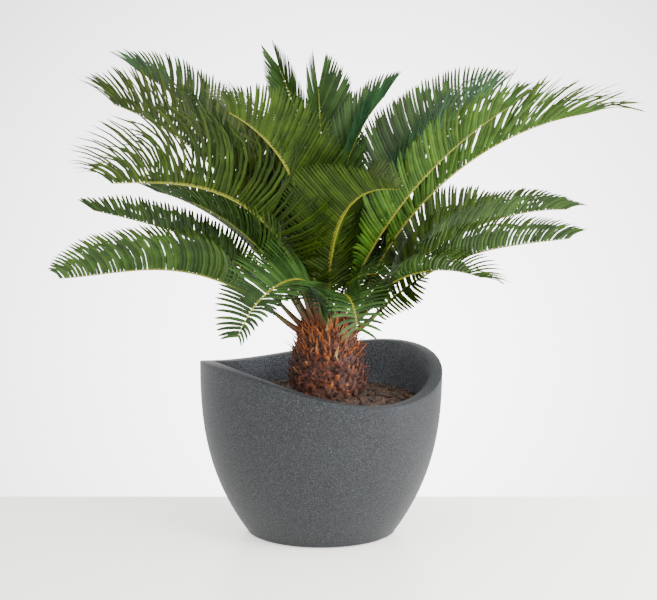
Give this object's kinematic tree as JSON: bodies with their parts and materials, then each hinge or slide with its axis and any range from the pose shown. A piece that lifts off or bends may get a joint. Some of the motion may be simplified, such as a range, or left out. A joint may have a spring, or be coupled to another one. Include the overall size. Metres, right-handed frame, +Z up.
{
  "type": "potted sago palm",
  "caption": "Sago palm with a full crown of arching feather fronds on a short shaggy trunk, planted in a round dark grey pot with a wavy rim.",
  "frame": {"origin": "centre of the pot's flat underside", "axes": "+Z up the trunk, -Y towards the front, +X to the right as seen from the front"},
  "size_m": [0.9468, 0.7404, 0.8091],
  "materials": {
    "pot": "matte dark grey with fine light speckles",
    "soil": "loose brown bark mulch",
    "trunk": "shaggy brown leaf bases",
    "frond": "satin dark green leaflets on a yellow-green rib"
  },
  "bodies": {
    "root": {"pot": "pot", "soil": "soil", "trunk": "trunk", "frond_01": "frond", "frond_02": "frond", "frond_03": "frond", "frond_04": "frond", "frond_05": "frond", "frond_06": "frond", "frond_07": "frond", "frond_08": "frond", "frond_09": "frond", "frond_10": "frond", "frond_11": "frond", "frond_12": "frond", "frond_13": "frond", "frond_14": "frond", "frond_15": "frond", "frond_16": "frond", "frond_17": "frond", "frond_18": "frond", "frond_19": "frond", "frond_20": "frond", "frond_21": "frond", "frond_22": "frond", "frond_23": "frond", "frond_24": "frond", "frond_25": "frond", "frond_26": "frond"}
  },
  "joints": []
}
